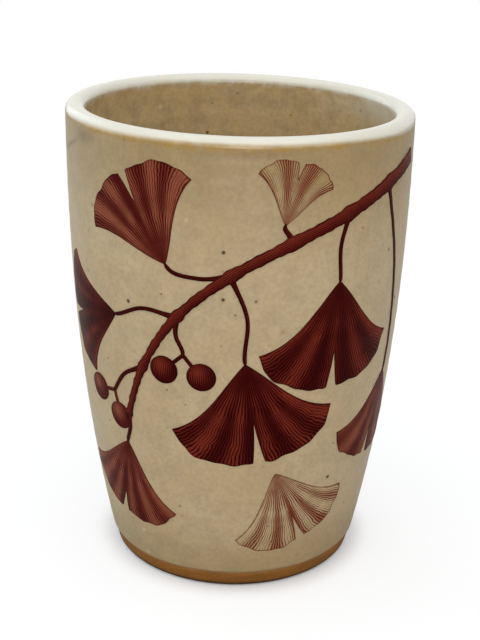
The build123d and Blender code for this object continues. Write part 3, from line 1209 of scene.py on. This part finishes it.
@dataclass(frozen=True)
class Leaf:
    """One printed leaf: a fan of two lobes with a cleft between them.

    The folds are how many half waves of light and shade cross it, and the turn is where they
    start. A leaf of full length has the line count's lines to a half, and a shorter one has fewer.
    The columns of points crowd towards the middle, where they are the crowding's share as far
    apart as an even spread. A margin wave's start is multiplied by the turn.
    """

    node: str
    tone: Tone
    azimuth: float
    height_share: float
    heading: float
    length: float
    spread: float
    cleft: float
    folds: float = 5.0
    turn: float = 0.0
    shade: float = 0.5
    gap: float = 0.0003
    side_hollow: float = 6.4
    corner_share: float = 0.9
    lip_share: float = 0.97
    lip_angle: float = 3.0
    margin_wave: float = 0.009
    margin_waves: tuple[Wave, ...] = ((1.0, 9, 6), (0.7, 17, 12), (0.5, 31, 0))
    margin_corner: float = 0.1
    line_count: int = 13
    full_length: float = 0.026
    rows: int = 46
    first_row: float = 0.015
    columns: int = 97
    crowding: float = 0.3
    fold_depth: float = 0.32
    fold_span: Span = (0.1, 0.8)
    base_depth: float = 0.25
    base_span: Span = (0.0, 0.5)
    side_light: float = 0.2
    side_span: Span = (0.3, 0.95)
    middle_depth: float = 0.25
    middle_width: float = 0.14

    def margin(self, across: Array) -> Array:
        """The leaf's reach from its stalk, as a share of its length.

        Two shallow arches, highest at the middle of each lobe, meet in a straight-sided cleft,
        and three small waves make the margin uneven, but for the cleft's lips and the corners.

        Args:
            across: from -1 at one side to 1 at the other.

        Returns:
            The share at each place.
        """
        lip = self.lip_angle / self.spread
        away = np.abs(across)
        outside = 1 - (1 - self.corner_share) * ((away - 0.5) / 0.5) ** 2
        inside = 1 - (1 - self.lip_share) * ((0.5 - away) / (0.5 - lip)) ** 2
        arch = np.where(away > 0.5, outside, inside)
        waves = [(size, pace, start * self.turn) for size, pace, start in self.margin_waves]
        wave = self.margin_wave * ripple(across, waves)
        arch = arch + wave * smooth(lip, lip * 2, away) * smooth(0, self.margin_corner, 1 - away)
        cleft = (1 - self.cleft) + (self.lip_share - 1 + self.cleft) * away / lip
        return np.where(away < lip, cleft, arch)

    def shading(self, across: Array, out: Array) -> Array:
        """The layer `tone`: folds, a dark base and middle, and lighter sides.

        Args:
            across: from -1 at one side to 1 at the other.
            out: from 0 at the stalk to 1 at the margin.

        Returns:
            The tone.
        """
        fold = np.sin(across * self.folds * math.pi + self.turn) * smooth(*self.fold_span, out)
        base = 1 - smooth(*self.base_span, out)
        sides = smooth(*self.side_span, np.abs(across))
        tone = self.shade + self.fold_depth * fold - self.base_depth * base + self.side_light * sides
        return tone - self.middle_depth * bell(across, self.middle_width) * out

    def build(self, wall: Wall, lift: float) -> Object:
        """The leaf as a film on the wall.

        Point (i, j) lies a share r of the margin's reach from the stalk's end, and turned from
        the leaf's heading by a share a of half its spread, which narrows between stalk and corner
        by the side's hollow, 4r(1 - r) of it.

        Args:
            wall: the wall that it is laid on.
            lift: how much further out it lies than other films.

        Returns:
            The object, which stands for the leaf's node.
        """
        start = wall.spot(self.azimuth, self.height_share)
        base = wall.moved(start, self.heading, self.gap)
        middle = wall.moved(start, self.heading, self.length / 2)[0]
        even = np.linspace(-1, 1, self.columns)[None, :]
        across = even * (self.crowding + (1 - self.crowding) * even**2)
        out = np.linspace(self.first_row, 1, self.rows)[:, None]
        hollow = self.side_hollow * 4 * out * (1 - out)
        turn = across * np.radians(self.spread - hollow)
        reach = out * self.margin(across) * self.length
        flat = np.stack([reach * np.sin(turn), reach * np.cos(turn)], -1)
        outline = np.concatenate([flat[-1], flat[:, 0], flat[:, -1]])
        apart = flat.reshape(-1, 1, 2) - outline[None, :, :]
        edge = np.sqrt((apart**2).sum(-1).min(1)).reshape(reach.shape)
        heading = math.radians(self.heading)
        x = reach * np.sin(heading + turn)
        x = x + float(wall.form.outer(start[1])) * math.sin(base[0] - middle)
        azimuth, height = wall.lay(middle, x, base[1] + reach * np.cos(heading + turn))
        count = self.line_count * math.sqrt(self.length / self.full_length)
        uv = np.stack(np.broadcast_arrays(across * count, out), -1)
        layers = {"edge": edge, "tone": self.shading(across, out)}
        name = self.node.replace("print_", "")
        made = wall.film_object(name, azimuth, height, uv, layers, lift)
        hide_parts(self.node)
        return made


@dataclass(frozen=True)
class SeedPair:
    """Two round seeds on a forked stalk.

    The second seed lies a little further out than the first, and the stalks lie lower than both.
    The light falls on each seed from a place on it, in shares of its radius. The pole ease keeps
    the lines apart at the top and bottom of a seed.
    """

    node: str
    tone: Tone
    azimuth: float
    height_share: float
    heading: float
    fork: float = 42.0
    stalk_length: float = 0.0065
    stalk_width: float = 0.0009
    stalk_rows: int = 12
    stalk_shade: float = 0.3
    stalk_drop: float = 0.00001
    seed_step: float = 0.000006
    seed_radius: float = 0.0033
    seed_rows: int = 33
    seed_lines: int = 7
    pole_ease: float = 0.02
    light_from: Span = (-0.25, 0.35)
    light_reach: float = 1.1
    darkest: float = 0.1
    gap: float = 0.0003

    def seed(self, wall: Wall, name: str, centre: Span, lift: float) -> Object:
        """One seed as a round film.

        A square grid is rounded off: x' = x * sqrt(1 - y^2 / 2), and y' likewise. The tone is that
        of a ball lit from above, and the lines run over it as meridians do.

        Args:
            wall: the wall that it is laid on.
            name: the object's name.
            centre: its middle, an azimuth and a height.
            lift: how much further out it lies than other films.

        Returns:
            The object.
        """
        u, v = np.meshgrid(*[np.linspace(-1, 1, self.seed_rows)] * 2)
        x = u * np.sqrt(1 - v * v / 2)
        y = v * np.sqrt(1 - u * u / 2)
        azimuth, height = wall.lay(centre[0], x * self.seed_radius, centre[1] + y * self.seed_radius)
        far = np.hypot(x - self.light_from[0], y - self.light_from[1])
        light = np.clip(1 - far / self.light_reach, 0, 1)
        layers = {
            "edge": (1 - np.hypot(x, y)) * self.seed_radius,
            "tone": self.darkest + (1 - self.darkest) * light,
        }
        meridian = x / np.sqrt(1 + self.pole_ease - y * y)
        uv = np.stack([meridian * self.seed_lines, np.zeros_like(x)], -1)
        return wall.film_object(name, azimuth, height, uv, layers, lift)

    def widths(self, along: Array) -> Array:
        """The stalk's even width."""
        return self.stalk_width * np.ones_like(along)

    def build(self, wall: Wall, lift: float) -> list[Object]:
        """The fork's two stalks and their seeds.

        Args:
            wall: the wall that they are laid on.
            lift: how much further out they lie than other films.

        Returns:
            The objects, which together stand for the pair's node.
        """
        fork = wall.spot(self.azimuth, self.height_share)
        start = wall.moved(fork, self.heading, self.gap)
        name = self.node.replace("print_", "")
        pieces = []
        for side, word in ((-1, "a"), (1, "b")):
            centre = wall.moved(fork, self.heading + side * self.fork, self.stalk_length)
            pieces.append(self.seed(wall, f"{name}_{word}", centre, lift + side * self.seed_step))
            pieces.append(
                wall.strip(
                    f"{name}_stalk_{word}",
                    np.array([start, centre]),
                    self.widths,
                    self.stalk_rows,
                    lift - self.stalk_drop,
                    self.stalk_shade,
                )
            )
        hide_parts(self.node)
        return pieces


@dataclass(frozen=True)
class Twig:
    """The printed twig with its knots, and the stalks that leave it.

    The knots swell the twig to their own width, by a share that falls over a span from its butt
    to its tip, and its sides are ragged by two small waves.
    """

    node: str = "print_twig"
    tone: Tone = Tone.DARK
    rows: int = 420
    lift: float = 0.00016
    shade: float = 0.62
    butt_width: float = 0.0034
    tip_width: float = 0.0015
    knot_width: float = 0.0034
    knot_length: float = 0.0016
    knot_share: Span = (1.25, 0.65)
    ragged: tuple[Wave, ...] = ((0.00012, 2600, 0.0), (0.0001, 1170, 1.0))
    stalk_rows: int = 60
    stalk_shade: float = 0.3
    stalk_width: float = 0.0009
    flare_width: float = 0.0011
    flare_length: float = 0.0016
    tip_share: float = 0.6
    tip_length: float = 0.0006
    overlap: float = 0.0008
    points: tuple[Span, ...] = (
        (72, 0.925),
        (54, 0.890),
        (36, 0.848),
        (17, 0.800),
        (-2, 0.735),
        (-19, 0.642),
        (-32, 0.520),
        (-40, 0.400),
    )

    def path(self, wall: Wall) -> Array:
        """The twig's places on the wall, an azimuth and a height to a row."""
        return np.array([wall.spot(*point) for point in self.points])

    def stem(self, wall: Wall) -> Object:
        """The twig: it tapers evenly and swells round each place where a stalk leaves it.

        Args:
            wall: the wall that it is laid on.

        Returns:
            The object, which stands for the twig's node.
        """
        path = self.path(wall)
        knots = wall.knots(path)

        def widths(along: Array) -> Array:
            """The taper plus a bell-shaped swelling at each knot, which shrinks along the twig.

            Args:
                along: distances along the twig.

            Returns:
                Its widths there.
            """
            share = along / along[-1]
            width = self.butt_width + (self.tip_width - self.butt_width) * share
            knot = self.knot_share[0] + (self.knot_share[1] - self.knot_share[0]) * share
            swell = bell(along[:, None] - knots[None, 1:], self.knot_length)
            swell = swell * (self.knot_width * knot - width)[:, None]
            return width + np.clip(swell, 0, None).max(1) + ripple(along, self.ragged)

        made = wall.strip("twig", path, widths, self.rows, self.lift, self.shade)
        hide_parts(self.node)
        return made

    def stalk_widths(self, along: Array) -> Array:
        """A stalk's width, which flares at its foot and narrows to a rounded tip.

        Args:
            along: distances along the stalk.

        Returns:
            Its widths there.
        """
        flare = self.flare_width * np.exp(-along / self.flare_length)
        tip = self.tip_share * bell(along[-1] - along, self.tip_length)
        return (self.stalk_width + flare) * (1 - tip)

    def stalk(
        self, wall: Wall, start: int, end: tuple[float, float, float], bow: float, lift: float
    ) -> Object:
        """A stalk from a knot of the twig to a leaf or a pair of seeds.

        Its middle is bowed to the left of the way by a share of the way's length, its foot flares
        out into the knot, and its tip turns the way that the leaf or the pair heads.

        Args:
            wall: the wall that it is laid on.
            start: the number of the twig's place that it leaves.
            end: the azimuth and the share of the height where it ends, and the heading there.
            bow: the share of its length that it is bowed by.
            lift: how much further out it lies than other films.

        Returns:
            The object.
        """
        foot = self.path(wall)[start]
        base = wall.spot(end[0], end[1])
        tip = np.array(wall.moved(base, end[2], self.overlap))
        radius = float(wall.form.outer((foot[1] + base[1]) / 2))
        run = (np.array(base) - foot) * [radius, 1]
        bend = np.array([-run[1] * bow / radius, run[0] * bow])
        spine = np.stack([foot, (foot + base) / 2 + bend, base, tip])
        name = f"stalk_{start}_{int(abs(end[0]))}"
        made = wall.strip(name, spine, self.stalk_widths, self.stalk_rows, lift, self.stalk_shade)
        return made


@dataclass(frozen=True)
class Spray:
    """The printed spray: a twig, its stalks, eight leaves and two pairs of seeds.

    A stalk is given by the number of the twig's place, the node that it leads to and its bow. A
    lift is how far out the first film of a kind lies, and the step to the next one.
    """

    wall: Wall
    twig: Twig = Twig()
    leaf_lift: Span = (0.0, 0.000008)
    seed_lift: Span = (0.00008, 0.00002)
    stalk_lift: Span = (0.00011, 0.000004)
    leaves: tuple[Leaf, ...] = (
        Leaf("print_leaf_high", Tone.MID, -22, 0.745, -30, 0.022, 47, 0.34, 5.0, 0.5, 0.50),
        Leaf("print_leaf_left", Tone.DARK, -42, 0.620, -104, 0.022, 46, 0.30, 4.0, 2.0, 0.34),
        Leaf("print_leaf_centre", Tone.DARK, 3, 0.556, 171, 0.026, 50, 0.42, 5.0, 3.4, 0.42),
        Leaf("print_leaf_right", Tone.DARK, 34, 0.715, 180, 0.026, 48, 0.36, 4.0, 1.2, 0.40),
        Leaf("print_leaf_tip", Tone.MID, -42, 0.335, 194, 0.022, 47, 0.30, 5.0, 4.2, 0.50),
        Leaf("print_leaf_edge", Tone.MID, 66, 0.470, 190, 0.022, 46, 0.38, 4.0, 0.2, 0.52),
        Leaf("print_leaf_young", Tone.PALE, 14, 0.832, 14, 0.014, 42, 0.28, 3.0, 1.9, 0.62),
        Leaf("print_leaf_low", Tone.PALE, 15, 0.300, 157, 0.022, 45, 0.36, 5.0, 5.0, 0.60),
    )
    seeds: tuple[SeedPair, ...] = (
        SeedPair("print_seeds_centre", Tone.DARK, -17, 0.566, 184),
        SeedPair("print_seeds_left", Tone.MID, -46, 0.446, 214),
    )
    stalks: tuple[tuple[int, str, float], ...] = (
        (4, "print_leaf_high", 0.10),
        (5, "print_leaf_left", -0.12),
        (4, "print_leaf_centre", 0.10),
        (2, "print_leaf_right", -0.08),
        (7, "print_leaf_tip", 0.08),
        (1, "print_leaf_edge", 0.06),
        (3, "print_leaf_young", 0.0),
        (5, "print_seeds_centre", -0.10),
        (6, "print_seeds_left", -0.10),
    )

    def build(self) -> list[tuple[Object, Tone]]:
        """Lays every film of the spray, each a little further out than the one before.

        Returns:
            The films, each with its tone.
        """
        pieces = []
        places = {}
        for number, leaf in enumerate(self.leaves):
            lift = self.leaf_lift[0] + self.leaf_lift[1] * number
            pieces.append((leaf.build(self.wall, lift), leaf.tone))
            places[leaf.node] = (leaf.azimuth, leaf.height_share, leaf.heading)
        for number, pair in enumerate(self.seeds):
            lift = self.seed_lift[0] + self.seed_lift[1] * number
            pieces.extend((piece, pair.tone) for piece in pair.build(self.wall, lift))
            places[pair.node] = (pair.azimuth, pair.height_share, pair.heading)
        for number, (start, node, bow) in enumerate(self.stalks):
            lift = self.stalk_lift[0] + self.stalk_lift[1] * number
            stalk = self.twig.stalk(self.wall, start, places[node], bow, lift)
            pieces.append((stalk, self.twig.tone))
        pieces.append((self.twig.stem(self.wall), self.twig.tone))
        return pieces


@dataclass(frozen=True)
class Lamp:
    """A soft rectangular lamp: its place, width, height, power in watts and colour."""

    name: str
    place: tuple[float, float, float]
    width: float
    height: float
    power: float
    tint: tuple[float, float, float] = (1.0, 1.0, 1.0)

    def build(self, aim_height: float) -> Object:
        """The lamp, turned to face a point on the axis.

        Args:
            aim_height: the point's height.

        Returns:
            The lamp's object.
        """
        light = bpy.data.lights.new(self.name, "AREA")
        light.shape = "RECTANGLE"
        light.size, light.size_y = self.width, self.height
        light.energy = self.power
        light.color = self.tint
        made = bpy.data.objects.new(self.name, light)
        bpy.context.scene.collection.objects.link(made)
        way = Vector((0, 0, aim_height)) - Vector(self.place)
        turned = way.to_track_quat("-Z", "Y").to_matrix().to_4x4()
        made.matrix_world = Matrix.Translation(self.place) @ turned
        return made


@dataclass(frozen=True)
class Studio:
    """A white table in a soft-lit white room, four lamps and the camera.

    The room lights the cup by its own level, and is white where it is only seen. The table's lit
    colour keeps the cup's shadow. A glow that only the camera sees is laid over it, weaker at the
    cup and stronger far out, so that the table meets the white of the room.
    """

    camera_place: tuple[float, float, float] = (0.0, -0.2884, 0.1644)
    aim_height: float = 0.05654
    yaw: float = 0.0031
    roll: float = 0.0201
    lens: float = 71.05
    sensor: float = 36.0
    clip: Span = (0.01, 20)
    room_light: float = 0.595
    table_half: float = 2.0
    table_lit: Colour = srgb(186, 182, 176)
    table_seen: Colour = srgb(252, 252, 252)
    table_roughness: float = 0.9
    glow_near: Span = (0.030, 0.036)
    glow_far: Span = (0.12, 0.50)
    glow_level: float = 0.7
    glow_near_loss: float = 0.6
    glow_far_gain: float = 0.3
    lamps: tuple[Lamp, ...] = (
        Lamp("over", (0.00, -0.30, 0.95), 1.3, 0.8, 5.2),
        Lamp("window", (0.10, 0.36, 0.95), 1.0, 0.35, 1.2, (0.70, 0.85, 1.0)),
        Lamp("front", (0.04, -1.00, 0.14), 0.6, 0.4, 3.4),
        Lamp("left", (-0.76, 0.36, 0.24), 1.3, 1.1, 5.2, (0.72, 0.88, 1.0)),
    )

    def room(self) -> None:
        """The world: white where the camera, a reflection or glass sees it, softer as a light."""
        world = bpy.data.worlds.new("room")
        bpy.context.scene.world = world
        graph = Graph(world)
        rays = graph.node("LightPath").outputs
        seen = graph.math("MAXIMUM", rays["Is Glossy Ray"], rays["Is Transmission Ray"])
        seen = graph.math("MAXIMUM", rays["Is Camera Ray"], seen)
        level = graph.node("MapRange", {"Value": seen, "To Min": self.room_light, "To Max": 1.0})
        background = graph.tree.nodes["Background"]
        graph.put(background.inputs["Color"], (1.0, 1.0, 1.0, 1.0))
        graph.put(background.inputs["Strength"], level.outputs["Result"])

    def table(self) -> Object:
        """The white square that the cup stands on.

        Returns:
            The table's object.
        """
        corners = np.array([[-1, -1, 0], [1, -1, 0], [1, 1, 0], [-1, 1, 0]])
        made = mesh_object("table", self.table_half * corners, [np.array([[0, 1, 2, 3]])])
        graph = Graph(bpy.data.materials.new("table_white"))
        seen = graph.node("LightPath").outputs["Is Camera Ray"]
        graph.dress("Base Color", graph.mix(seen, self.table_lit, self.table_seen))
        graph.dress("Roughness", self.table_roughness)
        reach = graph.reach(graph.place())
        near = graph.times(graph.fall(reach, *self.glow_near), self.glow_near_loss)
        far = graph.ramp(reach, *self.glow_far)
        glow = graph.math("MULTIPLY_ADD", far, self.glow_far_gain, self.glow_level)
        glow = graph.times(seen, graph.math("SUBTRACT", glow, near))
        lit = graph.tree.nodes["Principled BSDF"].outputs[0]
        white = graph.node("Emission").outputs[0]
        laid = graph.node("MixShader", {0: glow, 1: lit, 2: white}).outputs[0]
        graph.put(graph.tree.nodes["Material Output"].inputs["Surface"], laid)
        made.data.materials.append(graph.owner)
        return made

    def camera(self) -> Object:
        """The camera at the photograph's place and view.

        It looks from its place to the axis at the aim height, then turns right by the yaw and
        about its own view by the roll.

        Returns:
            The camera's object.
        """
        data = bpy.data.cameras.new("camera")
        data.sensor_width = self.sensor
        data.sensor_fit = "AUTO"
        data.lens = self.lens
        data.clip_start, data.clip_end = self.clip
        made = bpy.data.objects.new("camera", data)
        bpy.context.scene.collection.objects.link(made)
        place = Vector(self.camera_place)
        way = Vector((0, 0, self.aim_height)) - place
        way.normalize()
        cos, sin = math.cos(self.yaw), math.sin(self.yaw)
        way = Vector((way.x * cos + way.y * sin, -way.x * sin + way.y * cos, way.z))
        right = way.cross(Vector((0, 0, 1))).normalized()
        above = right.cross(way)
        cos, sin = math.cos(self.roll), math.sin(self.roll)
        across, up = right * cos + above * sin, above * cos - right * sin
        turned = Matrix((across, up, -way)).transposed()
        made.matrix_world = Matrix.Translation(place) @ turned.to_4x4()
        bpy.context.scene.camera = made
        return made

    def build(self) -> None:
        """Sets up the room, the table, the lamps and the camera."""
        self.room()
        self.table()
        for lamp in self.lamps:
            lamp.build(self.aim_height)
        self.camera()
        bpy.context.scene.view_settings.view_transform = "Standard"


def finishes() -> tuple[dict[str, bpy.types.Material], dict[Tone, bpy.types.Material]]:
    """The materials of the clay and its coats, and of the printed films.

    Returns:
        The materials by the names of the turned pieces, and by the films' tones.
    """
    hairline = Mark(-1.20, 0.1026, 0.40, 0.0090, 0.0008, srgb(190, 188, 180))
    smoke = Mark(-0.98, 0.1062, 0.05, 0.0060, 0.0026, srgb(216, 214, 216))
    # Painted reflection: shade darkens a strip on the right under the lip, mirroring a dark thing.
    shade = Mark(1.10, 0.0995, 0.94, 0.0085, 0.0024, srgb(230, 225, 216))
    under_lip = Mark(0.04, 0.1071, 0.0, 0.0140, 0.0022, srgb(226, 213, 196))
    outer = GlazeFinish("outer_glaze", marks=(hairline, smoke, shade, under_lip))
    # Painted light: the liner is the outer glaze made paler, to brighten the shaded inside.
    liner = GlazeFinish("liner_glaze", body=srgb(204, 180, 136), warm=srgb(194, 166, 118))
    dark, mid, pale = srgb(40, 2, 2), srgb(60, 9, 7), srgb(96, 38, 26)
    prints = (
        PrintFinish(Tone.DARK, dark, srgb(76, 12, 8), srgb(108, 38, 25), False),
        PrintFinish(Tone.MID, mid, srgb(94, 29, 20), srgb(132, 72, 52), False),
        PrintFinish(Tone.PALE, pale, srgb(138, 88, 64), srgb(190, 170, 140), True),
    )
    turned = {
        "outer_coat": outer.material(),
        "liner_coat": liner.material(),
        "clay_body": ClayFinish().material(),
    }
    return turned, {finish.tone: finish.material(outer) for finish in prints}


def main() -> None:
    """Builds the cup, its finishes and the studio."""
    logging.basicConfig(level=logging.INFO, format="%(message)s")
    LOG.info("the frame holds %d nodes", len(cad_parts))
    form = CupForm.from_frame()
    turned, inks = finishes()
    vessel = Vessel(form)
    pieces = [vessel.clay(), vessel.outer_coat(), vessel.liner_coat()]
    for piece in pieces:
        piece.data.materials.append(turned[piece.name])
    for piece, tone in Spray(Wall(form)).build():
        piece.data.materials.append(inks[tone])
        pieces.append(piece)
    for piece in pieces:
        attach(piece, BODY)
        LOG.info("%s: %d faces", piece.name, len(piece.data.polygons))
    Studio().build()


if __name__ == "__main__":
    main()
